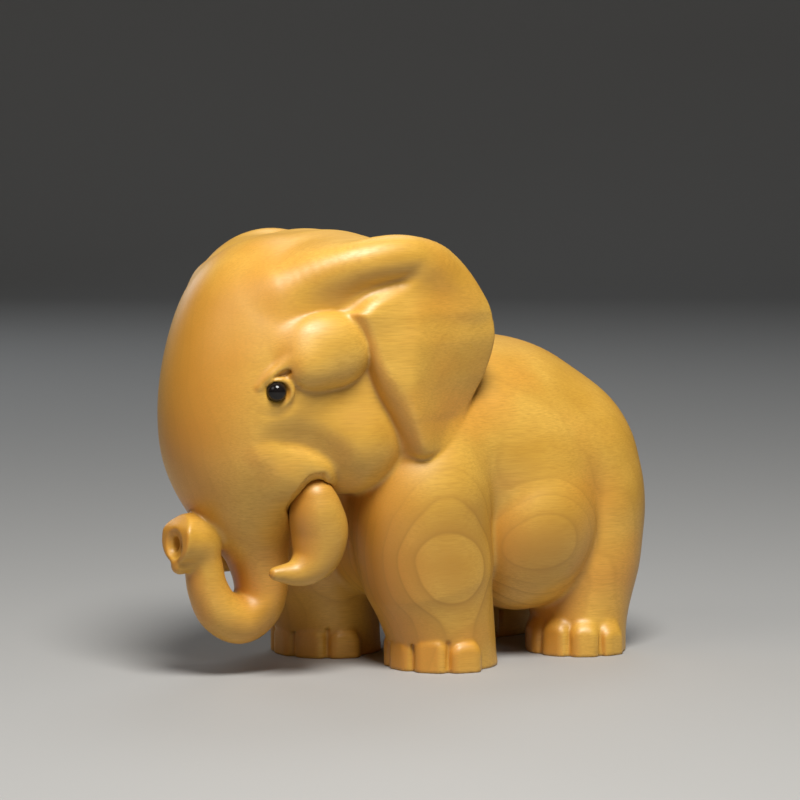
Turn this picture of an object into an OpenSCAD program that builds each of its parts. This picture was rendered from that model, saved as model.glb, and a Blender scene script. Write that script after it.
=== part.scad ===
// Carved wooden elephant, a palm-sized figurine.
// One carved block, two tusks let into drilled seats under the cheeks, two bead eyes on pegs.
// Frame: soles on z = 0, the elephant faces -Y, its left side is +X, units mm.
//
// The block is sculpted as rounded lumps that flow into each other. Each lump is a
// distance function, negative inside the wood, and a net of facets is laid on the zero level.

/* [Block] */
// Height over the crown of the head
height = 62; // [61:0.5:63]

/* [Torso] */
// Height of the middle of the barrel
torso_z = 28.6; // [28.2:0.2:28.8]
// Half width of the barrel
torso_half_w = 17.6; // [17.4:0.2:17.8]
// Half length of the barrel
torso_half_l = 22.6; // [22.2:0.2:22.8]
// Fullness of the belly lobes, half width
belly_half_w = 12.2; // [11.8:0.2:12.4]

/* [Legs] */
// Distance of a foot's centre from the middle plane
foot_x = 10.2; // [10:0.1:10.4]
// Radius of a front ankle
ankle_r = 7.5; // [7.2:0.1:7.6]
// How far the right front foot is stepped forward
stride = 5.5; // [5:0.5:5.5]
// Height of the toe pads
toe_h = 5.2; // [4.8:0.2:5.4]
// Toes on each foot
toe_count = 5; // [4:1:5]

/* [Head] */
// Half width of the brow
skull_half_w = 14.3; // [14:0.1:14.5]
// Height of the middle of the skull
skull_z = 46.3; // [46:0.1:46.5]

/* [Ears] */
// Radius of the ear's round upper part
ear_r = 11.3; // [11:0.1:11.4]
// Half thickness of the ear's leaf
ear_half_t = 1.2; // [1.1:0.1:1.2]
// Radius of the rolled upper rim, at its fullest
rim_r = 3.4; // [3.2:0.1:3.5]

/* [Tusks] */
// Radius of a tusk at its fullest
tusk_r = 4; // [3.8:0.1:4]
// Radius of a tusk where it enters its seat
tusk_root_r = 3.3; // [3.2:0.1:3.3]
// Radius of the tenon on the root
tenon_r = 1.7; // [1.5:0.1:1.9]
// Length of the tenon
tenon_l = 4.5; // [4:0.5:5]

/* [Eyes] */
// Radius of an eye bead
bead_r = 1.4; // [1.3:0.05:1.45]
// Radius of the bead's peg
peg_r = 0.6; // [0.5:0.05:0.7]
// Length of the bead's peg behind the bead
peg_l = 2; // [1.5:0.25:2.5]

/* [Hidden] */
// Spacing of the net that is laid over the carving. The ranges above were tried at this spacing.
net_step = 2.1;

wood = [0.87, 0.67, 0.36];
bead_black = [0.04, 0.03, 0.03];
glue_gap = 0.05;     // glue line between a peg or tenon and its hole
round_fn = 48;

// Box that the net is laid in, in whole steps from the origin
net_from = net_step * [-11, -20, -2];
net_cells = [22, 40, 33];

// Lumps of the torso: centre, then half sizes
torso = [[0, 14, torso_z], [torso_half_w, torso_half_l, 18.2]];
chest = [[0, -3, 22], [12, 9.5, 13]];
belly = [[8, 15.4, 20.2], [belly_half_w, 11.8, 13.8]];
thigh = [[8.8, 27.2, 21], [9.3, 9.6, 16]];
shoulder = [[9.6, -3.2, 24], [10, 10.4, 13]];
neck = [[0, 4, 32], [0, -13, 39], 14.5, 13];
shank = [[foot_x - 0.2, 25.8, 11], [foot_x + 1.1, 24.9, -1], 7.3, 6.9];
foreleg = [[foot_x - 0.2, -1.6, 12], [foot_x, 1, -1], ankle_r + 1.4, ankle_r];
tail = [[[0, 33.5, 35.5], [0, 37, 28]], [[0, 37, 28], [0, 36.8, 19]]];
tail_r = [1.6, 1.3, 1.6];

sole_cut = 1.5;      // the legs run this far under the soles before they are cut flat

// Toe pads: centre of the foot, radius that the pads stand on, turn of the foot, spread of a pad
fore_toes = [[foot_x, 1], ankle_r + 0.8, 0, 38];
hind_toes = [[foot_x + 1.1, 24.9], 7.6, 20, 41];
toe_sink = 1.9;      // pad centres sit this far inside the foot's rim
toe_base = 0.8;      // height of a pad's centre over the sole
toe_half = [3.2, 2.75];

// Lumps of the head
skull = [[0, -21, skull_z], [skull_half_w, 15.5, 15.6]];
crown = [[0, -13, skull_z + 3.7], [skull_half_w - 0.1, 12.5, 11.8]];
face = [[0, -27, 36], [12.3, 12, 13.5]];
cheek = [[7.6, -15, 33.5], [8.4, 10, 8]];
ear_root = [[7, -9, 43], [8.6, 12, 13]];
temple = [[11.9, -21.8, 46.2], [4.4, 7.7, 6.1]];
muzzle = [[0, -28, 31], [0, -27, 24], 9.6, 7];

// Rolled rim of the ear, from the temple back along the top: point and radius
rim = [
    [8.4, -26, 54.4, rim_r - 0.8],
    [11.8, -21, 56.6, rim_r - 0.2],
    [14.3, -16, 58, rim_r],
    [15.6, -11, 58.6, rim_r - 0.1],
    [15.8, -6.4, 57.6, rim_r - 0.4],
    [15.6, -2.6, 54.8, rim_r - 1]
];

// Outline of the ear in the side view: round top, fuller middle and the tip below, y z radius
ear_top = [-8, 50.1, ear_r];
ear_mid = [-6.2, 42.3, 7.2];
ear_tip = [-5.6, 32.3, 2.2];
ear_x = 16.9;        // distance of the leaf from the middle plane

// Middle line of the trunk, from inside the muzzle down, round and up: y z radius
trunk = [
    [-27.6, 29, 8.4],
    [-27, 25, 7.6],
    [-25, 18.5, 4.9],
    [-24, 13, 3.9],
    [-24.9, 9.6, 3.7],
    [-27.8, 8, 3.6],
    [-31.2, 9.5, 3.2],
    [-33.1, 12.7, 2.85],
    [-33.8, 16, 2.7],
    [-34.9, 18.9, 2.9],
    [-37.5, 19.9, 3.3],
    [-38.6, 19.9, 3.4]
];
trunk_tip = [-38.6, 19.9];
nostril_r = 2.3;
nostril_depth = 0.8;

// Middle line of the left tusk below its seat: x y z radius
tusk_x = 9;
tusk_y = -20.2;
seat_z = 28.5;       // top of the seat under the cheek
seat_mouth_z = 26.5; // the seat opens into a wider relief here
tusk_top_z = 25.6;   // the horn's shoulder, just below the seat
tusk_line = [
    [tusk_x, tusk_y, tusk_top_z, tusk_root_r + 0.3],
    [tusk_x, tusk_y, 23, tusk_r - 0.1],
    [tusk_x + 0.2, tusk_y, 20.5, tusk_r],
    [tusk_x + 0.4, tusk_y - 1.1, 17.2, 3.2],
    [tusk_x + 0.3, tusk_y - 3.8, 15.3, 2],
    [tusk_x, tusk_y - 7.6, 15.3, 0.9]
];
relief_r = tusk_r + 0.4;

// Left eye: centre of the bead, and how far the eye looks forward of straight sideways
eye = [12.4, -29.9, 41];
eye_turn = 22;

// ---- distance functions -----------------------------------------------------------------

// Ellipsoid given as [centre, half sizes]
function lump(p, s) =
    let (
        q = p - s[0],
        a = [q.x / s[1].x, q.y / s[1].y, q.z / s[1].z],
        b = [a.x / s[1].x, a.y / s[1].y, a.z / s[1].z],
        k = norm(a)
    )
    k * (k - 1) / max(norm(b), 0.000001);

// Round bar from a to b with its own radius at each end
function bar(p, a, b, ra, rb) =
    let (ab = b - a, t = max(0, min(1, (p - a) * ab / (ab * ab))))
    norm(p - a - t * ab) - ra - t * (rb - ra);

// Union with a fillet of about k
function flow(a, b, k) =
    let (h = max(k - abs(a - b), 0) / k)
    min(a, b) - h * h * k / 4;

function clamp(v, top) = max(0, min(top, v));

// Row of toe pads round the front of a foot, each pad a low dome turned to face outward
function pads(p, f) =
    min([for (i = [0 : toe_count - 1])
        let (
            a = -90 + f[2] + (i - (toe_count - 1) / 2) * f[3],
            q = p - [f[0].x + (f[1] - toe_sink) * cos(a), f[0].y + (f[1] - toe_sink) * sin(a), toe_base],
            out = q.x * cos(a) + q.y * sin(a),
            side = q.y * cos(a) - q.x * sin(a)
        )
        lump([out, side, q.z], [[0, 0, 0], [toe_half.x, toe_half.y, toe_h - toe_base]])]);

function front_leg(p, f) =
    let (leg = flow(lump(p, shoulder), bar(p, foreleg[0], foreleg[1], foreleg[2], foreleg[3]), 4))
    p.z > toe_h + 2 ? leg : flow(leg, pads(p, f), 1);

// Torso and legs; q is p folded onto the left half
function body_shape(p, q) =
    let (
        barrel = flow(lump(q, torso), bar(q, neck[0], neck[1], neck[2], neck[3]), 6),
        front = flow(barrel, lump(q, chest), 4),
        hind = flow(lump(q, thigh), bar(q, shank[0], shank[1], shank[2], shank[3]), 4),
        hips = flow(front, hind, 3.5),
        feet = q.z > toe_h + 2 ? hips : flow(hips, pads(q, hind_toes), 1),
        full = flow(feet, lump(q, belly), 3 + clamp((q.z - 23) * 0.4, 4)),
        tailed = q.y < 28 ? full
            : flow(full, min([for (i = [0, 1]) bar(q, tail[i][0], tail[i][1], tail_r[i], tail_r[i + 1])]), 2),
        step = p.x > 0 ? p : [-p.x, p.y + stride, p.z]
    )
    q.y > 14 ? tailed
        : flow(tailed, front_leg(step, fore_toes), 1.5 + clamp((q.z - 26) * 0.4, 5));

// Leaf of the ear: a rounded outline in the side view, bent outward along its middle
function ear_leaf(q) =
    let (
        run = [ear_tip.x - ear_top.x, ear_tip.y - ear_top.y],
        len = norm(run),
        s = ((q.y - ear_top.x) * run.x + (q.z - ear_top.y) * run.y) / len,
        t = abs((q.z - ear_top.y) * run.x - (q.y - ear_top.x) * run.y) / len,
        lean = (ear_top[2] - ear_tip[2]) / len,
        rise = sqrt(1 - lean * lean),
        k = s * rise - t * lean,
        cone = k < 0 ? norm([s, t]) - ear_top[2]
            : k > rise * len ? norm([s - len, t]) - ear_tip[2]
            : t * rise + s * lean - ear_top[2],
        rim_d = flow(cone, norm([q.y - ear_mid.x, q.z - ear_mid.y]) - ear_mid[2], 3),
        low = clamp((ear_top.y - q.z) / 17, 1.2),
        bow = (0.005 + 0.045 * low * low) * pow(q.y + 8 - 2 * low, 2) + 0.005 * pow(q.z - 45, 2),
        middle = ear_x + 0.03 * (q.y + 8) - bow,
        face_d = max(q.x - middle - ear_half_t, middle - ear_half_t - clamp((2 - q.y) * 0.3, 5) - q.x)
    )
    let (a = rim_d + ear_half_t * 0.8, b = face_d + ear_half_t * 0.8)
    norm([max(a, 0), max(b, 0)]) + min(max(a, b), 0) - ear_half_t * 0.8;

function rolled_rim(q) =
    min([for (i = [0 : len(rim) - 2])
        bar(q, [for (n = [0 : 2]) rim[i][n]], [for (n = [0 : 2]) rim[i + 1][n]], rim[i][3], rim[i + 1][3])]);

function head_shape(q) =
    let (
        dome = flow(flow(lump(q, skull), lump(q, crown), 3), lump(q, face), 6),
        jaw = flow(dome, lump(q, cheek), 4),
        root = flow(jaw, lump(q, ear_root), 3),
        snout = flow(root, bar(q, muzzle[0], muzzle[1], muzzle[2], muzzle[3]), 3),
        rimmed = q.z < 44 ? snout : flow(snout, rolled_rim(q), 5),
        bulged = flow(rimmed, lump(q, temple), 0.8)
    )
    q.y < -22 ? bulged : flow(bulged, ear_leaf(q), 0.8);

// The whole block
function carving(p) =
    let (q = [abs(p.x), p.y, p.z], body = p.y < -20 ? 30 : body_shape(p, q))
    max(p.y > 6 || p.z < 18 ? body : flow(body, head_shape(q), 1), -sole_cut - p.z);

// ---- net of facets ----------------------------------------------------------------------

corner = [for (i = [0, 1]) for (j = [0, 1]) for (k = [0, 1]) [i, j, k]];
edge = [for (a = [0 : 7]) for (b = [0 : 7]) if (a < b && norm(corner[a] - corner[b]) == 1) [a, b]];

// Where the surface crosses a cell: the mean of the crossings on the cell's edges
function cell_point(v, at) =
    let (
        d = [for (c = corner) v[at.x + c.x][at.y + c.y][at.z + c.z]],
        cross = [for (e = edge) if ((d[e[0]] < 0) != (d[e[1]] < 0))
            corner[e[0]] + (corner[e[1]] - corner[e[0]]) * d[e[0]] / (d[e[0]] - d[e[1]])],
        one = [for (c = cross) 1]
    )
    net_from + net_step * (at + one * cross / len(cross));

// One step down the slope, which puts a point of the net on the surface
function settle(p) =
    let (
        h = 0.05,
        d = carving(p),
        g = [carving(p + [h, 0, 0]) - d, carving(p + [0, h, 0]) - d, carving(p + [0, 0, h]) - d] / h
    )
    p - max(-0.35, min(0.35, d / max(g * g, 0.5))) * g;

// Both triangles of a net square, turned to face out of the wood
function square_of(c, inside) =
    inside ? [[c[0], c[2], c[1]], [c[0], c[3], c[2]]] : [[c[0], c[1], c[2]], [c[0], c[2], c[3]]];

module net() {
    n = net_cells;
    v = [for (i = [0 : n.x]) [for (j = [0 : n.y]) [for (k = [0 : n.z])
        carving(net_from + net_step * [i, j, k])]]];
    mixed = [for (i = [0 : n.x - 1]) for (j = [0 : n.y - 1]) for (k = [0 : n.z - 1])
        let (s = [for (c = corner) if (v[i + c.x][j + c.y][k + c.z] < 0) 1])
        len(s) > 0 && len(s) < 8 ? 1 : 0];
    index = [for (i = 0, s = 0; i < len(mixed); s = s + mixed[i], i = i + 1) s];
    points = [for (i = [0 : n.x - 1]) for (j = [0 : n.y - 1]) for (k = [0 : n.z - 1])
        if (mixed[(i * n.y + j) * n.z + k] == 1) settle(cell_point(v, [i, j, k]))];
    faces = [for (i = [1 : n.x - 1]) for (j = [1 : n.y - 1]) for (k = [1 : n.z - 1])
        for (axis = [0 : 2])
            let (
                in_a = v[i][j][k] < 0,
                in_b = v[i + (axis == 0 ? 1 : 0)][j + (axis == 1 ? 1 : 0)][k + (axis == 2 ? 1 : 0)] < 0
            )
            if (in_a != in_b)
                let (
                    u = axis == 0 ? n.z : axis == 1 ? 1 : n.y * n.z,
                    w = axis == 0 ? 1 : axis == 1 ? n.y * n.z : n.z,
                    c = (i * n.y + j) * n.z + k,
                    ring = [index[c - u - w], index[c - w], index[c], index[c - u]]
                )
                each square_of(ring, in_a)];
    polyhedron(points, faces);
}

// ---- swept horns ------------------------------------------------------------------------

// Smooth line through the given points
function smooth(line, steps) =
    let (m = len(line) - 1)
    concat(
        [for (i = [0 : m - 1]) for (s = [0 : steps - 1])
            let (
                t = s / steps,
                a = line[max(0, i - 1)], b = line[i], c = line[i + 1], d = line[min(m, i + 2)]
            )
            (2 * b + (c - a) * t + (2 * a - 5 * b + 4 * c - d) * t * t
                + (3 * b - a - 3 * c + d) * t * t * t) / 2],
        [line[m]]
    );

// Round horn along a line of [x, y, z, radius] that runs nearly in the YZ plane
module horn(line, sides) {
    m = len(line) - 1;
    rings = [for (i = [0 : m]) for (s = [0 : sides - 1])
        let (
            run = line[min(m, i + 1)] - line[max(0, i - 1)],
            up = [0, run.z, -run.y] / norm([run.y, run.z]),
            a = 360 * s / sides
        )
        [line[i].x, line[i].y, line[i].z] + line[i][3] * (cos(a) * [1, 0, 0] + sin(a) * up)];
    walls = [for (i = [0 : m - 1]) for (s = [0 : sides - 1])
        let (a = i * sides + s, b = i * sides + (s + 1) % sides)
        each [[a, b + sides, b], [a, a + sides, b + sides]]];
    ends = [[for (s = [0 : sides - 1]) s], [for (s = [1 : sides]) m * sides + sides - s]];
    polyhedron(rings, concat(walls, ends));
}

// ---- the pieces -------------------------------------------------------------------------

module at_eye() {
    translate(eye) rotate([0, 90, -eye_turn]) children();
}

module sockets() {
    translate([tusk_x, tusk_y, 0]) {
        translate([0, 0, 14]) cylinder(h = seat_mouth_z - 14, r = relief_r, $fn = round_fn);
        translate([0, 0, 20]) cylinder(h = seat_z - 20, r = tusk_root_r + glue_gap, $fn = round_fn);
        translate([0, 0, 20]) cylinder(h = seat_z - 20 + tenon_l + 0.3, r = tenon_r + glue_gap, $fn = round_fn);
    }
    at_eye() {
        translate([0, 0, -bead_r]) cylinder(h = 6, r = bead_r + glue_gap, $fn = round_fn);
        translate([0, 0, -bead_r - peg_l - 0.2]) cylinder(h = 6, r = peg_r + glue_gap, $fn = round_fn);
    }
}

module carved_body() {
    color(wood) difference() {
        resize([0, 0, height]) intersection() {
            union() {
                net();
                horn(smooth([for (t = trunk) [0, t.x, t.y, t[2]]], 3), 16);
            }
            translate([-40, -60, 0]) cube([80, 120, 100]);
        }
        sockets();
        mirror([1, 0, 0]) sockets();
        translate([0, trunk_tip.x + nostril_depth, trunk_tip.y])
            rotate([90, 0, 0]) cylinder(h = 5, r = nostril_r, $fn = round_fn);
    }
}

module tusk() {
    horn(smooth(tusk_line, 3), 20);
    translate([tusk_x, tusk_y, tusk_top_z - 1]) cylinder(h = seat_z - tusk_top_z + 1, r = tusk_root_r, $fn = round_fn);
    translate([tusk_x, tusk_y, seat_z - 1]) cylinder(h = tenon_l + 1, r = tenon_r, $fn = round_fn);
}

module bead() {
    at_eye() {
        sphere(r = bead_r, $fn = round_fn);
        translate([0, 0, -bead_r - peg_l]) cylinder(h = peg_l + bead_r, r = peg_r, $fn = round_fn);
    }
}

module tusk_left() {
    color(wood) tusk();
}

module tusk_right() {
    color(wood) mirror([1, 0, 0]) tusk();
}

module eye_left() {
    color(bead_black) bead();
}

module eye_right() {
    color(bead_black) mirror([1, 0, 0]) bead();
}

carved_body();
tusk_left();
tusk_right();
eye_left();
eye_right();
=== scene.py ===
"""Carved wooden elephant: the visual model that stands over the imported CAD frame.

The block and the tusks are sculpted as distance fields, negative inside the wood, in millimetres.
Rounded lumps flow into each other as they do under a carver's gouge, and a fine net of faces is
laid on the zero level. The elephant faces -Y, its left side is +X, and its soles stand on z = 0.
"""
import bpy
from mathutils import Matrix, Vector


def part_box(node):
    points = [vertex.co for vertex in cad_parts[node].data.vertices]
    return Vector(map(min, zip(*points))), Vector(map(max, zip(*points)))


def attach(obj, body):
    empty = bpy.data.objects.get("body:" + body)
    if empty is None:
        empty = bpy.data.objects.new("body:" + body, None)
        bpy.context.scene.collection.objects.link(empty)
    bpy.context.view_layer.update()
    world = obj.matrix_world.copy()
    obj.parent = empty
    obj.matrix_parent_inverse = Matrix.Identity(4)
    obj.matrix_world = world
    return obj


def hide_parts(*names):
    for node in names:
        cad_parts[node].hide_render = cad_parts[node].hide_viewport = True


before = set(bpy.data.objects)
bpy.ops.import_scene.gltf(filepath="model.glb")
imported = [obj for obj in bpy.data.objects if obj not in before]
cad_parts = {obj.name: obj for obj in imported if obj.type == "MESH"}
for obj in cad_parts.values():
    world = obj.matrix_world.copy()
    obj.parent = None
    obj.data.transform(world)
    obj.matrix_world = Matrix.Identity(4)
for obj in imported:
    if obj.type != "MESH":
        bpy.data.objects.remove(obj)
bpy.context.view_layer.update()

from concurrent.futures import ThreadPoolExecutor
from math import cos, pi, radians, sin

import bmesh
import bpy
import numpy as np
from mathutils import Matrix, Vector

MM = 0.001                # one millimetre in Blender's units
REAL = np.float32         # number type of the fields
CORES = 4                 # the fields are evaluated by this many threads
CARVING_FACES = 190000    # most triangles of the carving
TUSK_FACES = 30000        # most triangles of a tusk
NET_STEP = 0.34           # spacing of the net


# ---- driving values, in millimetres: the nose and the eye from the frame, the feet given ------

def box_mm(node):
    """Lowest and highest corner of a CAD node, in millimetres."""
    return [[value / MM for value in corner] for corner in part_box(node)]


nose_y = box_mm("carved_body")[0][1]

eye_low, eye_high = box_mm("eye_left")
eye_turn = radians(22)
eye_out = np.array([cos(eye_turn), -sin(eye_turn), 0.0])
bead_r = (eye_high[2] - eye_low[2]) / 2
eye = np.array([eye_high[0] - bead_r, eye_low[1] + bead_r, (eye_low[2] + eye_high[2]) / 2])

foot_x = 10.2    # distance of a foot's centre from the middle plane
stride = 5.5     # how far the right front foot is stepped forward


# ---- distance functions -----------------------------------------------------------------------

def row(*values):
    """Numbers in the fields' own type."""
    return np.array(values, REAL)


def turn(x=0.0, y=0.0, z=0.0):
    """Rotation about X, then Y, then Z, in degrees."""
    about_z, about_y, about_x = (
        Matrix.Rotation(radians(angle), 3, axis) for angle, axis in ((z, "Z"), (y, "Y"), (x, "X"))
    )
    return np.array(about_z @ about_y @ about_x, REAL)


def plane(p, point, normal):
    """Half space behind a plane."""
    n = np.array(normal) / np.linalg.norm(normal)
    return (p - row(*point)) @ row(*n)


def clip_off(a, b, k):
    """a kept where b is inside, and the edge eased by about k."""
    return -flow(-a, -b, k)


def lump(p, centre, half, turned=None):
    """Ellipsoid."""
    q = p - row(*centre)
    if turned is not None:
        q = q @ turn(*turned)
    a = q / row(*half)
    k = np.sqrt((a * a).sum(1))
    b = a / row(*half)
    return k * (k - 1) / np.maximum(np.sqrt((b * b).sum(1)), 1e-6)


def bar(p, a, b, radius_a, radius_b):
    """Round bar from a to b with its own radius at each end."""
    a, b = row(*a), row(*b)
    run = b - a
    t = np.clip(((p - a) @ run) / float(run @ run), 0, 1)
    return np.sqrt((((p - a) - t[:, None] * run) ** 2).sum(1)) - (radius_a + (radius_b - radius_a) * t)


def flow(a, b, k):
    """Union with a fillet of about k, which may differ from point to point."""
    h = np.maximum(k - np.abs(a - b), 0) / k
    return np.minimum(a, b) - h * h * k * REAL(0.25)


def carve(a, b, k):
    """a with b cut away, and the edge eased by about k."""
    return -flow(-a, b, k)


def ease(value, low, high):
    """0 up to low, 1 from high on, and a smooth rise between them."""
    t = np.clip((value - low) / (high - low), 0, 1)
    return t * t * (3 - 2 * t)


def smooth_line(points, steps):
    """Catmull-Rom curve through rows of numbers."""
    rows = np.array(points, float)
    rows = np.vstack([2 * rows[0] - rows[1], rows, 2 * rows[-1] - rows[-2]])
    out = []
    for i in range(1, len(rows) - 2):
        a, b, c, d = rows[i - 1:i + 3]
        for t in np.arange(steps) / steps:
            out.append((2 * b + (c - a) * t + (2 * a - 5 * b + 4 * c - d) * t ** 2
                        + (3 * b - a - 3 * c + d) * t ** 3) / 2)
    out.append(rows[-2])
    return np.array(out)


def rope(p, points, steps=5):
    """Round body along a smooth line of x, y, z, radius."""
    line = smooth_line(points, steps)
    d = None
    for a, b in zip(line[:-1], line[1:]):
        part = bar(p, a[:3], b[:3], a[3], b[3])
        d = part if d is None else np.minimum(d, part)
    return d


def near(p, centre, reach):
    """Which points lie within reach of centre."""
    return ((p - row(*centre)) ** 2).sum(1) < reach * reach


def change(d, p, where, step):
    """Applies step(d, p) only at the points where it matters."""
    if where.any():
        d = d.copy()
        d[where] = step(d[where], p[where])
    return d


# ---- the block: torso and legs ----------------------------------------------------------------

def toes(p, foot, rim, heights, turned, spread):
    """Row of toe pads round the front of a foot: low rounded cushions, each turned to face outward."""
    depth, soft = 2, 1.7
    width = rim * sin(radians(spread / 2)) - 0.12
    d = None
    for i, height in enumerate(heights):
        angle = radians(-90 + turned + (i - (len(heights) - 1) / 2) * spread)
        q = p - row(foot[0] + (rim - depth) * cos(angle), foot[1] + (rim - depth) * sin(angle), 0)
        out = q[:, 0] * cos(angle) + q[:, 1] * sin(angle)
        side = q[:, 1] * cos(angle) - q[:, 0] * sin(angle)
        top = height - 0.12 * side * side
        reach = np.stack([np.abs(out) - depth, np.abs(side) - width, np.abs(q[:, 2]) - top], 1) + REAL(soft)
        pad = np.sqrt((np.maximum(reach, 0) ** 2).sum(1)) + np.minimum(reach.max(1), 0) - soft
        d = pad if d is None else flow(d, pad, 0.12)
    return d


def toe_cuts(p, foot, rim, heights, turned, spread):
    """Fine grooves between neighbouring toes, shallower towards the top."""
    d = None
    for i in range(len(heights) + 1):
        angle = radians(-90 + turned + (i - len(heights) / 2) * spread)
        top = min(heights) - 0.2
        low = (foot[0] + (rim - 0.15) * cos(angle), foot[1] + (rim - 0.15) * sin(angle), -1)
        high = (foot[0] + (rim - 0.7) * cos(angle), foot[1] + (rim - 0.7) * sin(angle), top)
        cut = bar(p, low, high, 0.42, 0.28)
        d = cut if d is None else np.minimum(d, cut)
    return d


def with_toes(leg, p, k, *foot):
    """The leg with its toe pads flowed in by about k and the grooves cut between them."""
    def step(d, q):
        return carve(flow(d, toes(q, *foot), k), toe_cuts(q, *foot), 0.3)
    return change(leg, p, p[:, 2] < 8, step)


def front_leg(p, forward=0.0, turned=0.0):
    """Left front leg, stepped forward by so much, with its toes turned outward."""
    q = p + row(0, forward, 0)
    leg = lump(q, (9.6, -3.2, 24), (10, 10.4, 13), (-8, 0, 0))
    leg = flow(leg, bar(q, (foot_x - 0.2, -1.6, 12), (foot_x + 0.1, 1.6, 0), 8.9, 7), 6)
    return with_toes(leg, q, 0.3, (foot_x, 1), 8.8, (4.4, 4.8, 4.8, 5.4, 4.6), turned, 37)


def hindquarter(q):
    """Thigh and hind leg, without the toes."""
    thigh = lump(q, (8.8, 27.4, 21), (9.5, 9.5, 16.2))
    return flow(thigh, bar(q, (foot_x - 0.2, 25.8, 11), (foot_x + 1.1, 25.2, 0), 7.3, 6.8), 5)


TAIL = [(0, 34, 36, 1.7), (0, 36.9, 30, 1.5), (0, 37.5, 24, 1.2), (0, 37, 19.5, 1.7), (0, 36.6, 17.5, 1)]


def body(p, q):
    """Torso, legs and tail. p is the point itself, q is p folded onto the left half."""
    z = q[:, 2]
    d = lump(q, (0, 13.9, 28.6), (17.4, 22.5, 17.9))
    d = flow(d, bar(q, (0, 4, 32), (0, -13, 39), 14.5, 13), 6)
    d = flow(d, lump(q, (0, -3, 22), (12, 9.5, 13)), 4)
    d = flow(d, hindquarter(q), 3.5 + 2.5 * ease(z, 23, 32))
    d = with_toes(d, q, 1.2, (foot_x + 1.1, 24.9), 7.8, (4.6, 4.8, 5, 4.8, 4.4), 21, 37.5)
    d = flow(d, lump(q, (8, 15.8, 20.2), (12.2, 12.1, 13.8)), 1 + 6 * ease(z, 21, 39))
    d = change(d, q, q[:, 1] > 28, lambda e, r: flow(e, rope(r, TAIL), 1))
    left = front_leg(p)
    right = front_leg(p * row(-1, 1, 1), stride, 5)
    return flow(d, np.minimum(left, right), 1 + 5 * ease(z, 24, 40))


# ---- the block: head --------------------------------------------------------------------------
# The lists that follow are ropes, one row of x, y, z, radius for each point.

# Trunk, from inside the face down, round and up to the snout
TRUNK = [
    (0, -27.2, 34, 8.4), (0, -27.5, 30, 8.8), (0, -26.8, 25, 7.6), (0, -25, 18.5, 4.9),
    (0, -24, 13, 3.9), (0, -24.9, 9.6, 3.7), (0, -27.8, 8, 3.6), (0, -31.2, 9.5, 3.2),
    (0, -33.1, 12.7, 2.85), (0, -33.8, 16, 2.7), (0, -34.6, 18.2, 2.8), (0, -35.6, 19.6, 3),
]

# Rolled upper rim of the ear, from the brow back
RIM = [
    (8.4, -26, 54.6, 2.4), (11.7, -21, 57, 3), (14.2, -16, 58.4, 3.2), (15.4, -11, 59, 3.1),
    (15.3, -6.6, 58.2, 2.8), (14.7, -2.6, 55.4, 2.1), (14.4, 0.2, 51.6, 1.5),
]

# Hollow under the cheek, from the trunk back and down round the tusk
CHEEK_FOLD = [
    (16, -29.6, 32.8, 4), (15.8, -26.4, 31.7, 4), (15.9, -23.8, 30, 4), (15.7, -22, 27.3, 4),
    (14.4, -19.2, 23.6, 4),
]

# Lip that lies over the root of the tusk
LIP = [
    (9.9, -29.4, 32.6, 1.3), (10.1, -26.8, 31.8, 2), (10.6, -24, 30.8, 2), (11, -21.8, 29.6, 1.9),
    (10.9, -20.1, 28, 1),
]

# Brow, the groove under it, the upper lid and the fold below the eye
BROW = [
    (11.3, -32, 41.6, 0.2), (12, -30.9, 42.9, 0.5), (12.5, -29.8, 43.9, 0.6), (13, -28.5, 44.9, 0.65),
    (13.5, -26.9, 45.7, 0.55), (13.7, -25.6, 46, 0.3),
]

UNDER_BROW = [
    (12, -31.3, 41.9, 0.15), (12.7, -29.9, 42.9, 0.25), (13.2, -28.6, 43.7, 0.3), (13.6, -27.3, 44.3, 0.28),
    (14, -26.2, 44.8, 0.15),
]

LID = [
    (12.1, -31, 41.9, 0.25), (12.6, -30.1, 42.5, 0.35), (13, -28.8, 42.4, 0.42), (13.3, -28, 41.3, 0.4),
    (13.1, -28.2, 39.9, 0.3), (12.6, -29.3, 38.9, 0.1),
]

EYE_FOLD = [
    (11.5, -32.9, 38.3, 0.1), (12.4, -31.2, 37.6, 0.3), (13, -29.5, 37.7, 0.35), (13.5, -28, 38.6, 0.35),
    (13.8, -27.3, 40.2, 0.3), (13.8, -27.1, 41.6, 0.15),
]

# Outline of the ear in the side view, y and z, from its front edge over the top and round to the tip
EAR_EDGE = [
    (-18.8, 51.3), (-16.8, 53), (-14, 54.4), (-11, 55.6), (-7.5, 57.6), (-4.4, 58.8), (-1.6, 58),
    (1.4, 54.8), (4, 50.6), (4.7, 47.3), (4.3, 44), (3, 40.5), (0.6, 36.7), (-2.4, 33.6),
    (-5.4, 31.7), (-7.9, 30.9),
    (-9.7, 31.5), (-11.3, 34), (-13, 37.2), (-14.8, 40.6), (-16.2, 44), (-17.1, 47), (-18.1, 49.6),
]


def skull(q):
    """Domed head with its full face, the cheek and the swelling that carries the ear."""
    d = lump(q, (0, -21, 46.3), (14, 15.5, 15.6))
    d = flow(d, lump(q, (0, -13, 50), (13.7, 12.5, 11.8)), 3)
    d = flow(d, lump(q, (4, -14, 51.6), (9.3, 11, 10.2)), 3)
    d = flow(d, lump(q, (0, -26.7, 36), (12.3, 12, 13.5)), 6)
    d = flow(d, lump(q, (7.6, -15, 33.5), (8.4, 10, 8)), 4)
    return flow(d, lump(q, (7, -9, 43), (8.6, 12, 13)), 3)


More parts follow.
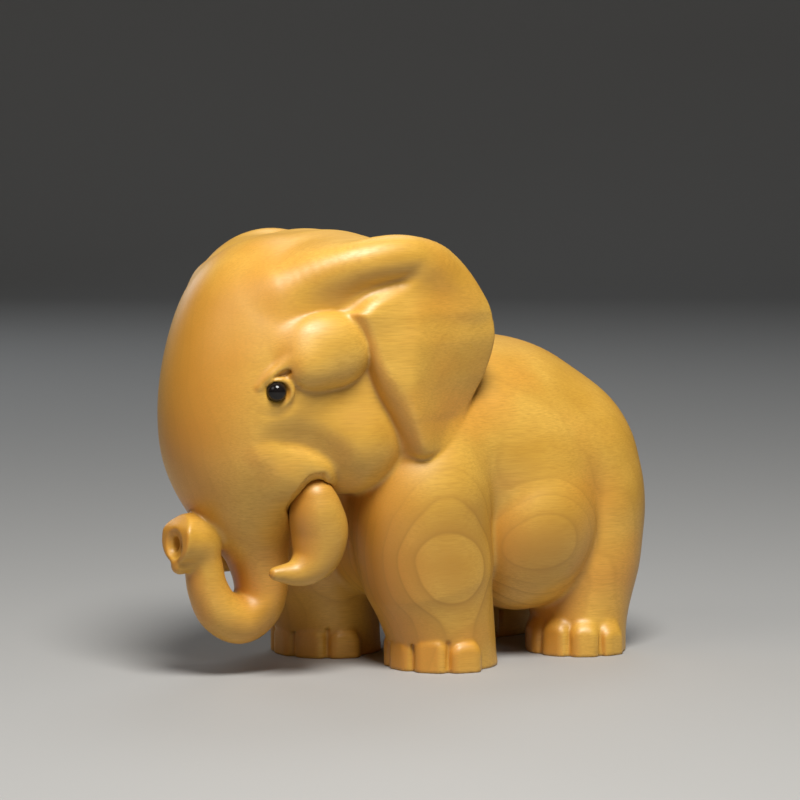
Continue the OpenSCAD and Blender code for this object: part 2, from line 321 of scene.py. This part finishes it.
def trunk(q):
    """Trunk with the blunt snout at its end: bevelled, hollowed for two nostrils, a finger below."""
    d = rope(q, TRUNK, 6)
    face_y = nose_y + 0.55
    snout = bar(q, (0, face_y + 4.2, 19.7), (0, face_y, 20.2), 3.1, 3.5)
    snout = clip_off(snout, plane(q, (0, face_y, 20), (0, -1, 0.08)), 0.5)
    snout = clip_off(snout, plane(q, (0, face_y + 1.1, 22.7), (0, -0.75, 0.66)), 0.5)
    d = flow(d, snout, 1.2)
    d = flow(d, bar(q, (0, face_y + 2, 16.6), (0, face_y + 0.9, 16.3), 1.5, 1.25), 0.5)
    d = carve(d, lump(q, (0, face_y - 0.2, 19.3), (1.9, 1.2, 2.05)), 0.4)
    return carve(d, lump(q, (0.85, face_y + 1, 19.2), (0.55, 1.3, 1.15)), 0.25)


def leaf_edge(y, z):
    """Distance to the ear's outline in the side view, negative inside."""
    ring = smooth_line(EAR_EDGE + EAR_EDGE[:1], 3).astype(REAL)
    nearest = np.full(y.shape, 1e6, REAL)
    inside = np.zeros(y.shape, bool)
    for (ay, az), (by, bz) in zip(ring[:-1], ring[1:]):
        run_y, run_z = by - ay, bz - az
        t = np.clip(((y - ay) * run_y + (z - az) * run_z) / (run_y ** 2 + run_z ** 2), 0, 1)
        nearest = np.minimum(nearest, (y - ay - t * run_y) ** 2 + (z - az - t * run_z) ** 2)
        if az != bz:
            inside ^= ((az <= z) != (bz <= z)) & (y < ay + (z - az) * run_y / run_z)
    return np.where(inside, -1, 1) * np.sqrt(nearest)


def ear(q):
    """Leaf of the ear: hung under its rolled rim, swelling downward, then ridged like a tent to the tip."""
    x, y, z = q.T
    crest = np.interp(z, [29, 33, 37, 42, 47, 51, 55, 59], [17.6, 18.4, 18.8, 18.9, 18.8, 18.3, 17.2, 15.6])
    fold = np.interp(z, [32, 36, 40, 42, 45, 49, 54], [-8.4, -10.4, -11.2, -11.2, -10.6, -9.8, -9.4])
    front = np.interp(z, [31, 36, 42, 48, 53], [0.6, 0.55, 0.4, 0.28, 0.1])
    rear = np.interp(z, [31, 36, 42, 48, 53], [0.42, 0.34, 0.2, 0.1, 0.06])
    t = y - fold
    outer = crest - np.where(t < 0, front, rear) * (np.sqrt(t * t + 1.4) - 1.18)
    depth = np.maximum(x - outer, outer - 2.4 - np.clip((2 - y) * 0.3, 0, 5) - x)
    soft = 0.7 + ease(-y, 6.5, 11.5) * (0.7 + 1.1 * ease(-z, -46, -37))
    a, b = leaf_edge(y, z) + soft, depth + soft
    return np.hypot(np.maximum(a, 0), np.maximum(b, 0)) + np.minimum(np.maximum(a, b), 0) - soft


def ear_fillet(q):
    """Crisp along the front edge, softer under the roll and towards the back."""
    return 0.4 + 2.6 * ease(q[:, 1], -12.5, -7.5) + 1.8 * ease(q[:, 2], 48, 52)


def eye_region(d, q):
    """Brow, folds and lid, and the socket that the bead fills."""
    d = flow(d, rope(q, BROW), 0.9)
    d = carve(d, rope(q, UNDER_BROW), 0.6)
    d = carve(d, rope(q, EYE_FOLD), 0.7)
    d = flow(d, rope(q, LID), 0.4)
    return carve(d, np.sqrt(((q - row(*eye)) ** 2).sum(1)) - (bead_r + 0.01), 0.12)


def mouth_corner(d, q):
    """Fold under the cheek, and the lip that swells below it and wraps over the tusk."""
    d = carve(d, rope(q, CHEEK_FOLD), 2.5)
    below = -0.6 * (q[:, 1] + 24) - 0.8 * (q[:, 2] - 31.5)
    swell = flow(rope(q, LIP), lump(q, (7.4, -25.2, 29.2), (4.4, 4.6, 4)), 2)
    return flow(d, swell, 0.8 + 2.4 * ease(below, 0, 5))


def tusk_seat(d, q):
    """Shallow moat in front of the tusk's root, and the hole that the root fills."""
    moat = lump(q, (9, -22, 26.7), (4.5, 4.5, 4.5))
    depth = 0.85 * ease(plane(q, (12.7, -20.9, 29), (-0.6, -0.8, 0)), 0, 1.5) - 0.3
    d = carve(d, carve(moat, d + depth, 0.3), 0.3)
    return carve(d, tusk(q) - 0.12, 0.2)


def head(q):
    """Skull, trunk, ear rim, temple and ear, then the mouth, the tusk's seat and the eye."""
    y, z = q[:, 1], q[:, 2]
    d = skull(q)
    d = change(d, q, z < 44, lambda e, r: flow(e, trunk(r), 4.5))
    d = change(d, q, z > 40, lambda e, r: flow(e, rope(r, RIM), 4))
    d = flow(d, lump(q, (8.6, -14.5, 56.2), (5, 10, 4.9)), 2.5)
    temple = lump(q, (12.4, -21.8, 46.4), (4.2, 7.2, 5.6), (0, 0, -8))
    temple = flow(temple, lump(q, (12.3, -25, 44.2), (3.3, 3.7, 3.3)), 2)
    d = flow(d, temple, 0.3 + 2.2 * ease(-y, 24, 33) * ease(z, 40, 50))
    leaf = (q[:, 0] > 7) & (y > -22) & (z > 26)
    d = change(d, q, leaf, lambda e, r: flow(e, ear(r), ear_fillet(r)))
    d = change(d, q, near(q, (12, -24, 30.5), 16), mouth_corner)
    d = change(d, q, near(q, (10, -22, 27), 11), tusk_seat)
    return change(d, q, near(q, eye, 8), eye_region)


def block(p):
    """The whole carved block, cut flat under the soles."""
    q = np.abs(p) * row(1, 0, 0) + p * row(0, 1, 1)
    d = body(p, q)
    d = change(d, q, (q[:, 1] < 8) & (q[:, 2] > -2), lambda e, r: flow(e, head(r), 1))
    return -flow(-d, p[:, 2], 0.3)


# ---- the tusks --------------------------------------------------------------------------------

# From the root down and forward to the tip
TUSK = [
    (10.1, -21.8, 25.6, 2.8), (9.6, -21.3, 23.4, 3.75), (9.3, -20.5, 20.5, 4), (9.4, -21.3, 17.2, 3.2),
    (9.3, -24, 15.3, 2), (9, -27.8, 15.3, 0.95),
]


def tusk(q):
    """Left tusk."""
    return rope(q, TUSK, 8)


# ---- net of faces -----------------------------------------------------------------------------

def spread_out(field, points, chunk=20000):
    """Evaluates a field over many points on all cores."""
    parts = [points[i:i + chunk] for i in range(0, len(points), chunk)]
    with ThreadPoolExecutor(CORES) as pool:
        return np.concatenate(list(pool.map(field, parts)))


def sample(field, low, high, step):
    """Field values on a grid: blocks of the grid far from the surface keep one coarse value."""
    side = 5
    blocks = np.ceil((np.array(high) - np.array(low)) / step / side).astype(int)
    centres = [low[i] + step * (np.arange(blocks[i]) * side + (side - 1) / 2) for i in range(3)]
    grid = np.stack(np.meshgrid(*centres, indexing="ij"), -1).reshape(-1, 3).astype(REAL)
    coarse = spread_out(field, grid).reshape(tuple(blocks))
    values = np.repeat(np.repeat(np.repeat(coarse, side, 0), side, 1), side, 2)
    reach = step * side / 2 * np.sqrt(3) * 1.15 + 0.6
    inside = np.arange(side)
    offsets = np.stack(np.meshgrid(inside, inside, inside, indexing="ij"), -1).reshape(-1, 3)
    index = (np.argwhere(np.abs(coarse) < reach)[:, None, :] * side + offsets[None]).reshape(-1, 3)
    points = (np.array(low) + index * step).astype(REAL)
    values[index[:, 0], index[:, 1], index[:, 2]] = spread_out(field, points)
    return values


CORNERS = [(i, j, k) for i in (0, 1) for j in (0, 1) for k in (0, 1)]


def net(values, low, step):
    """Surface net: one point in each cell that the surface crosses, one square per crossed edge."""
    size = values.shape
    below = values < 0

    def shifted(array, corner):
        return array[tuple(slice(c, n - 1 + c) for c, n in zip(corner, size))]

    count = sum(shifted(below, c).astype(np.int8) for c in CORNERS)
    crossed = (count > 0) & (count < 8)
    cells = np.argwhere(crossed)
    number = np.full(crossed.shape, -1, np.int32)
    number[crossed] = np.arange(len(cells))
    at = {c: values[cells[:, 0] + c[0], cells[:, 1] + c[1], cells[:, 2] + c[2]] for c in CORNERS}
    total = np.zeros((len(cells), 3))
    weight = np.zeros(len(cells))
    for a in CORNERS:
        for axis in range(3):
            if a[axis] == 1:
                continue
            b = tuple(1 if i == axis else a[i] for i in range(3))
            cross = (at[a] < 0) != (at[b] < 0)
            where = np.tile(np.array(a, float), (len(cells), 1))
            where[:, axis] = np.where(cross, at[a] / np.where(cross, at[a] - at[b], 1), 0)
            total += np.where(cross[:, None], where, 0)
            weight += cross
    points = np.array(low) + step * (cells + total / weight[:, None])

    squares = []
    for axis in range(3):
        u, v = (axis + 1) % 3, (axis + 2) % 3
        first = np.take(below, range(size[axis] - 1), axis)
        second = np.take(below, range(1, size[axis]), axis)
        edges = np.argwhere(first != second)
        along_u, along_v = edges[:, u], edges[:, v]
        edges = edges[(along_u > 0) & (along_v > 0) & (along_u < size[u] - 1) & (along_v < size[v] - 1)]
        ring = []
        for du, dv in ((1, 1), (0, 1), (0, 0), (1, 0)):
            cell = edges.copy()
            cell[:, u] -= du
            cell[:, v] -= dv
            ring.append(number[cell[:, 0], cell[:, 1], cell[:, 2]])
        ring = np.stack(ring, 1)
        out = first[edges[:, 0], edges[:, 1], edges[:, 2]]
        squares.append(np.where(out[:, None], ring, ring[:, ::-1]))
    return points, np.concatenate(squares)


def settle(field, points, reach=0.2):
    """One step down the slope, which puts the net's points on the surface."""
    h = 0.05
    points = points.astype(REAL)
    d = spread_out(field, points)
    slope = np.stack([spread_out(field, points + row(*axis) * h) - d for axis in np.eye(3)], 1) / h
    move = np.clip(d / np.maximum((slope ** 2).sum(1), 0.25), -reach, reach)
    return points - move[:, None] * slope


def build(name, field, low, high, step, most_faces):
    """Mesh object of a field, thinned to at most most_faces triangles."""
    points, squares = net(sample(field, low, high, step), low, step)
    points = settle(field, points)
    mesh = bpy.data.meshes.new(name)
    mesh.from_pydata((points * MM).tolist(), [], squares.tolist())
    mesh.validate()
    piece = bpy.data.objects.new(name, mesh)
    bpy.context.scene.collection.objects.link(piece)
    if 2 * len(squares) > most_faces:
        thin = piece.modifiers.new("thin", "DECIMATE")
        thin.ratio = most_faces / (2 * len(squares))
        depsgraph = bpy.context.evaluated_depsgraph_get()
        piece.data = bpy.data.meshes.new_from_object(piece.evaluated_get(depsgraph))
        piece.modifiers.clear()
    piece.data.shade_smooth()
    return piece


# ---- materials --------------------------------------------------------------------------------

class Shader:
    """A material's node tree, with short calls that add a node and link its inputs."""

    def __init__(self, name):
        self.material = bpy.data.materials.new(name)
        self.material.use_nodes = True
        self.tree = self.material.node_tree
        self.surface = self.tree.nodes["Principled BSDF"]

    def add(self, kind, inputs=(), **settings):
        """A new node with its settings made and its inputs put in."""
        node = self.tree.nodes.new(kind)
        for key, value in settings.items():
            setattr(node, key, value)
        for key, value in dict(inputs).items():
            self.put(node.inputs[key], value)
        return node

    def put(self, socket, value):
        """Links a socket to another, or gives it a plain value."""
        if isinstance(value, bpy.types.NodeSocket):
            self.tree.links.new(value, socket)
        else:
            socket.default_value = value

    def math(self, operation, *values):
        return self.add("ShaderNodeMath", dict(enumerate(values)), operation=operation).outputs[0]

    def vector(self, operation, *values):
        return self.add("ShaderNodeVectorMath", dict(enumerate(values)), operation=operation).outputs[0]

    def noise(self, vector, scale, detail=2.0, roughness=0.5):
        inputs = {"Vector": vector, "Scale": scale, "Detail": detail, "Roughness": roughness}
        return self.add("ShaderNodeTexNoise", inputs).outputs["Fac"]

    def span(self, value, low, high, to_low=0.0, to_high=1.0):
        """Value carried over from one range to another, and held at its ends."""
        inputs = {"Value": value, "From Min": low, "From Max": high, "To Min": to_low, "To Max": to_high}
        return self.add("ShaderNodeMapRange", inputs).outputs[0]

    def ramp(self, value, *stops):
        """Grey ramp through stops of position and level."""
        node = self.add("ShaderNodeValToRGB", {"Fac": value})
        keys = node.color_ramp.elements
        while len(keys) < len(stops):
            keys.new(0.5)
        for key, (position, level) in zip(keys, stops):
            key.position = position
            key.color = (level, level, level, 1)
        return node.outputs["Color"]

    def mix(self, factor, a, b, blend="MIX"):
        node = self.add("ShaderNodeMix", data_type="RGBA", blend_type=blend)
        self.put(node.inputs[0], factor)
        self.put(node.inputs[6], a)
        self.put(node.inputs[7], b)
        return node.outputs[2]


RING_GAP = 1.9                # millimetres from one growth ring to the next
PITH = (-60.0, 0.0, 26.0)     # where the rings' middle line passes, beyond the right side
GRAIN_TURN = radians(-12)     # turn of the fibres from the figure's length

# Places where the carved curve cuts the rings into ovals: centre, then 1 / half size of the swell
# in the rings, and of the patch where the rings show most
SWELLS = (
    ((0.0, -5.6, 15.0), (0.0, 1 / 14, 1 / 6.5), (0.0, 1 / 12, 1 / 11)),
    ((0.0, 12.6, 17.4), (0.0, 1 / 15, 1 / 6.5), (0.0, 1 / 13, 1 / 10)),
)


def wood(name, light, dark, amber, shift):
    """Fine pale boxwood: growth rings round a distant pith, streaks along the fibres, soft mottling, and
    painted shade in the creases.
    """
    s = Shader(name)
    place = s.add("ShaderNodeTexCoord").outputs["Object"]
    spot = s.vector("SCALE", place)
    spot.node.inputs["Scale"].default_value = 1 / MM
    inputs = {"Vector": spot, "Location": shift, "Rotation": (0, 0, -GRAIN_TURN)}
    grain = s.add("ShaderNodeMapping", inputs).outputs[0]

    slow = s.vector("MULTIPLY", grain, (0.05, 0.03, 0.05))
    sway = s.add("ShaderNodeTexNoise", {"Vector": slow, "Scale": 1.0, "Detail": 1.0}).outputs["Color"]
    sway = s.vector("MULTIPLY", s.vector("SUBTRACT", sway, (0.5, 0.5, 0.5)), (5.0, 0.0, 5.0))
    across = s.vector("MULTIPLY", s.vector("SUBTRACT", s.vector("ADD", grain, sway), PITH), (1.0, 0.0, 1.0))
    radius = s.add("ShaderNodeVectorMath", {0: across}, operation="LENGTH").outputs["Value"]

    def bell(centre, spread):
        """1 at the centre, falling off smoothly all round."""
        away = s.vector("MULTIPLY", s.vector("SUBTRACT", spot, centre), spread)
        length = s.add("ShaderNodeVectorMath", {0: away}, operation="LENGTH").outputs["Value"]
        return s.math("EXPONENT", s.math("MULTIPLY", s.math("MULTIPLY", length, length), -1.0))

    marked, patch = 0.0, 0.0
    for centre, spread, seen in SWELLS:
        radius = s.math("SUBTRACT", radius, s.math("MULTIPLY", bell(centre, spread), -3.5))
        marked = s.math("ADD", marked, bell(centre, seen))
        patch = s.math("ADD", patch, bell(centre, tuple(2 * k for k in seen)))

    ripple = s.noise(s.vector("MULTIPLY", grain, (0.16, 0.08, 0.16)), 1.0, 1.0, 0.5)
    radius = s.math("ADD", radius, s.span(ripple, 0.0, 1.0, -0.5, 0.5))
    uneven = s.noise(s.add("ShaderNodeCombineXYZ", {"X": radius}).outputs[0], 0.45, 1.0)
    age = s.math("ADD", s.math("DIVIDE", radius, RING_GAP), s.math("MULTIPLY", uneven, 1.0))
    season = s.math("FRACT", age)
    late = s.ramp(season, (0.0, 0.25), (0.07, 0.0), (0.5, 0.1), (0.78, 0.5), (0.92, 1.0), (1.0, 0.25))
    each = s.noise(s.add("ShaderNodeCombineXYZ", {"X": s.math("FLOOR", age)}).outputs[0], 0.73, 0.0)
    strength = s.math("MULTIPLY", s.span(each, 0.35, 0.65, 0.25, 1.0), s.span(marked, 0.1, 0.8, 0.2, 1.0))
    rings = s.math("MULTIPLY", late, strength)

    streak = s.noise(s.vector("MULTIPLY", grain, (4.0, 0.22, 5.5)), 1.0, 4.0, 0.65)
    fleck = s.noise(s.vector("MULTIPLY", grain, (3.2, 0.5, 9.0)), 1.0, 2.0, 0.5)
    fleck = s.ramp(fleck, (0.0, 0.0), (0.58, 0.0), (0.72, 1.0))
    mottle = s.noise(s.vector("MULTIPLY", grain, (0.12, 0.06, 0.12)), 1.0, 3.0)
    blush = s.noise(s.vector("MULTIPLY", grain, (0.07, 0.05, 0.07)), 1.0, 2.0)

    def tone(r, g, b):
        """The dark wood colour, multiplied channel by channel."""
        return (dark[0] * r, dark[1] * g, dark[2] * b, 1)

    colour = s.mix(s.span(mottle, 0.36, 0.64), light, dark)
    colour = s.mix(s.span(blush, 0.48, 0.68, 0.0, 0.75), colour, amber)
    colour = s.mix(s.math("MULTIPLY", patch, 0.55), colour, tone(0.72, 0.6, 0.42))
    facing = s.add("ShaderNodeNewGeometry").outputs["Normal"]
    along = s.add("ShaderNodeVectorMath", {0: facing, 1: (sin(-GRAIN_TURN), -cos(GRAIN_TURN), 0)},
                  operation="DOT_PRODUCT").outputs["Value"]
    colour = s.mix(s.span(s.math("ABSOLUTE", along), 0.62, 1.0, 0.0, 0.8), colour, tone(0.88, 0.58, 0.38))
    colour = s.mix(s.math("MULTIPLY", rings, 0.78), colour, tone(0.58, 0.46, 0.3))
    colour = s.mix(s.span(streak, 0.35, 0.68, 0.0, 0.55), colour, tone(0.8, 0.7, 0.52))
    colour = s.mix(s.math("MULTIPLY", fleck, 0.22), colour, tone(0.6, 0.48, 0.35))
    # Painted shade: creases and hollows, found from the mesh's pointiness, are darkened towards a deeper
    # brown
    crease_shade = s.span(s.add("ShaderNodeNewGeometry").outputs["Pointiness"], 0.4, 0.497, 0.55, 0.0)
    colour = s.mix(crease_shade, colour, tone(0.55, 0.4, 0.25))
    s.put(s.surface.inputs["Base Color"], colour)

    gloss = s.math("ADD", s.span(streak, 0.3, 0.7, 0.42, 0.56), s.math("MULTIPLY", rings, 0.06))
    s.put(s.surface.inputs["Roughness"], gloss)
    relief = s.math("ADD", s.math("MULTIPLY", streak, 0.6), s.math("MULTIPLY", rings, 0.25))
    bump = s.add("ShaderNodeBump", {"Strength": 0.25, "Distance": 0.03 * MM, "Height": relief})
    s.put(s.surface.inputs["Normal"], bump.outputs[0])
    s.put(s.surface.inputs["Specular IOR Level"], 0.6)
    s.put(s.surface.inputs["Coat Weight"], 0.3)
    s.put(s.surface.inputs["Coat Roughness"], 0.38)
    return s.material


def polished_black(name):
    """Polished bead with faint rub marks."""
    s = Shader(name)
    place = s.add("ShaderNodeTexCoord").outputs["Object"]
    rub = s.noise(place, 900.0, 2.0)
    s.put(s.surface.inputs["Base Color"], s.mix(rub, (0.006, 0.005, 0.005, 1), (0.014, 0.011, 0.01, 1)))
    s.put(s.surface.inputs["Roughness"], s.span(rub, 0.3, 0.7, 0.06, 0.1))
    s.put(s.surface.inputs["Specular IOR Level"], 0.3)
    s.put(s.surface.inputs["Coat Weight"], 0.1)
    s.put(s.surface.inputs["Coat Roughness"], 0.03)
    return s.material


def plain_floor(name):
    """Pale matt paint with a faint unevenness."""
    s = Shader(name)
    place = s.add("ShaderNodeTexCoord").outputs["Object"]
    haze = s.noise(place, 3.0, 2.0)
    s.put(s.surface.inputs["Base Color"], s.mix(haze, (0.385, 0.38, 0.37, 1), (0.41, 0.405, 0.395, 1)))
    s.put(s.surface.inputs["Roughness"], 0.7)
    return s.material


# ---- pieces -----------------------------------------------------------------------------------

def dress(piece, node, material):
    """Gives a piece its material, and puts it in the place of its CAD node."""
    piece.data.materials.clear()
    piece.data.materials.append(material)
    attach(piece, "root")
    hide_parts(node)


def mirrored(piece, name):
    """A copy of piece on the right side."""
    mesh = piece.data.copy()
    mesh.transform(Matrix.Diagonal((-1, 1, 1, 1)))
    mesh.flip_normals()
    copy = bpy.data.objects.new(name, mesh)
    bpy.context.scene.collection.objects.link(copy)
    return copy


def bead(name):
    """Round bead with its peg, turned about the eye's axis."""
    steps, turns = 28, 56
    peg_r, peg_l, bevel = 0.6, 2.1, 0.1
    profile = [(bead_r * sin(pi * i / steps), bead_r * cos(pi * i / steps)) for i in range(steps)]
    profile = [point for point in profile if point[1] > -0.9 * bead_r or point[0] > peg_r]
    profile += [(peg_r, -bead_r - peg_l + bevel), (peg_r - bevel, -bead_r - peg_l), (0, -bead_r - peg_l)]
    points = [(r * cos(2 * pi * t / turns), r * sin(2 * pi * t / turns), z)
              for r, z in profile for t in range(turns)]
    faces = []
    for i in range(len(profile) - 1):
        here, below = i * turns, (i + 1) * turns
        for t in range(turns):
            after = (t + 1) % turns
            faces.append((here + t, below + t, below + after, here + after))
    mesh = bpy.data.meshes.new(name)
    mesh.from_pydata(points, [], faces)
    mesh.validate()
    mesh.transform(Matrix.Scale(MM, 4))
    axis = Vector(eye_out).to_track_quat("Z", "Y").to_matrix().to_4x4()
    mesh.transform(Matrix.Translation(Vector(eye) * MM) @ axis)
    shell = bmesh.new()
    shell.from_mesh(mesh)
    bmesh.ops.remove_doubles(shell, verts=shell.verts, dist=0.005 * MM)
    bmesh.ops.recalc_face_normals(shell, faces=shell.faces)
    shell.to_mesh(mesh)
    shell.free()
    mesh.shade_smooth()
    piece = bpy.data.objects.new(name, mesh)
    bpy.context.scene.collection.objects.link(piece)
    return piece


box_wood = wood(
    "box_wood", light=(0.80, 0.475, 0.078, 1), dark=(0.66, 0.36, 0.042, 1), amber=(0.76, 0.335, 0.042, 1),
    shift=(0, 0, 0),
)
tusk_wood = wood(
    "tusk_wood", light=(0.76, 0.45, 0.08, 1), dark=(0.62, 0.34, 0.045, 1), amber=(0.70, 0.33, 0.045, 1),
    shift=(13, 20, 7),
)
black = polished_black("black_bead")

step = NET_STEP
carving = build("carving", block, (-24, -42, -2), (24, 42, 65), step, CARVING_FACES)
dress(carving, "carved_body", box_wood)

left_tusk = build("left_tusk", tusk, (3, -31, 12), (16, -14, 34), step * 0.8, TUSK_FACES)
right_tusk = mirrored(left_tusk, "right_tusk")
dress(left_tusk, "tusk_left", tusk_wood)
dress(right_tusk, "tusk_right", tusk_wood)

left_eye = bead("left_eye")
right_eye = mirrored(left_eye, "right_eye")
dress(left_eye, "eye_left", black)
dress(right_eye, "eye_right", black)


# ---- floor, light and camera ------------------------------------------------------------------

VIEW_AZIMUTH = 53                          # degrees from straight in front, towards the left side
VIEW_ELEVATION = 5                         # degrees above level
VIEW_DISTANCE = 0.5                        # metres
TARGET = Vector((5.8, -3.8, 38)) * MM      # point that the camera looks at
LIGHTS_AIM = Vector((0, 0, 0.03))

# name, azimuth and elevation in degrees, distance and width in metres, watts, colour
LIGHTS = [
    ("key", 63, 57, 0.42, 0.19, 2.4, (1.0, 0.985, 0.95)),
    ("fill", 0, 38, 0.6, 0.3, 0.4, (1.0, 0.97, 0.93)),
    ("edge", -90, 20, 0.8, 0.25, 0.6, (0.84, 0.91, 1.0)),
    ("back", 225, 50, 0.8, 0.3, 0.7, (0.9, 0.95, 1.0)),
]


def floor():
    """Plain sheet that lies flat under the figure and curves up far behind it. Sizes in metres."""
    mesh = bpy.data.meshes.new("floor")
    reach, front, back, bend, rise = 1.6, 1.2, 0.9, 0.35, 1.6
    arc = [(back + bend * sin(a), bend * (1 - cos(a))) for a in np.linspace(0, pi / 2, 13)]
    profile = [(-front, 0)] + arc + [(back + bend, rise)]
    points = [(x, y, z) for y, z in profile for x in (-reach, reach)]
    faces = [(2 * i, 2 * i + 1, 2 * i + 3, 2 * i + 2) for i in range(len(profile) - 1)]
    mesh.from_pydata(points, [], faces)
    mesh.shade_smooth()
    piece = bpy.data.objects.new("floor", mesh)
    piece.rotation_euler = (0, 0, radians(VIEW_AZIMUTH))
    bpy.context.scene.collection.objects.link(piece)
    piece.data.materials.append(plain_floor("floor_paint"))


def direction(azimuth, elevation):
    """Unit vector from the figure towards a camera or light."""
    a, e = radians(azimuth), radians(elevation)
    return Vector((sin(a) * cos(e), -cos(a) * cos(e), sin(e)))


def aim(thing, at, target):
    """Puts a camera or light at a place, turned to the target."""
    thing.location = at
    thing.rotation_mode = "QUATERNION"
    thing.rotation_quaternion = (Vector(at) - Vector(target)).to_track_quat("Z", "Y")


def soft_light(name, azimuth, elevation, distance, size, power, colour):
    """Round area light aimed at the figure."""
    data = bpy.data.lights.new(name, "AREA")
    data.shape = "DISK"
    data.size = size
    data.energy = power
    data.color = colour
    light = bpy.data.objects.new(name, data)
    bpy.context.scene.collection.objects.link(light)
    aim(light, LIGHTS_AIM + direction(azimuth, elevation) * distance, LIGHTS_AIM)


floor()
for light in LIGHTS:
    soft_light(*light)

world = bpy.data.worlds.new("studio")
world.use_nodes = True
backdrop = world.node_tree.nodes["Background"]
backdrop.inputs["Color"].default_value = (0.9, 0.93, 1.0, 1)
backdrop.inputs["Strength"].default_value = 0.025
bpy.context.scene.world = world
bpy.context.scene.view_settings.view_transform = "Standard"

lens = bpy.data.cameras.new("camera")
lens.lens = 157.5
lens.sensor_width = 36
lens.clip_start = 0.02
camera = bpy.data.objects.new("camera", lens)
bpy.context.scene.collection.objects.link(camera)
aim(camera, TARGET + direction(VIEW_AZIMUTH, VIEW_ELEVATION) * VIEW_DISTANCE, TARGET)
bpy.context.scene.camera = camera
